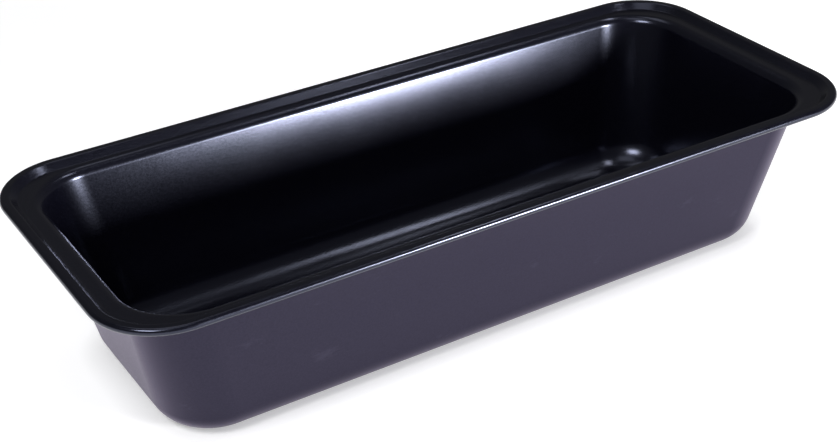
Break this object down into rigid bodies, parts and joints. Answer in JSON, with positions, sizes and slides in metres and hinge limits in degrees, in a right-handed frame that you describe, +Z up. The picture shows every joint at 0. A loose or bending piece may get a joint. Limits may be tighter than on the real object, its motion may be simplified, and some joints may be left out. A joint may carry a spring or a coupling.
{
  "type": "loaf pan",
  "caption": "Long, narrow loaf pan pressed from sheet steel, with sloping walls, a stepped flange, a rolled rim and a dark non-stick coating.",
  "frame": {"origin": "centre of the pan's underside", "axes": "+X along the pan's length, +Y across its width, +Z up out of the open top"},
  "size_m": [0.31, 0.133, 0.0655],
  "materials": {
    "steel_sheet": "bare cold-rolled steel, covered by the coatings",
    "inner_coating": "satin near-black non-stick with a fine grain",
    "outer_coating": "satin violet-grey bake coating with a fine grain",
    "rim_wire": "drawn steel wire"
  },
  "bodies": {
    "root": {"pan_body": "steel_sheet", "inner_coating": "inner_coating", "outer_coating": "outer_coating", "rim_wire": "rim_wire"}
  },
  "joints": []
}
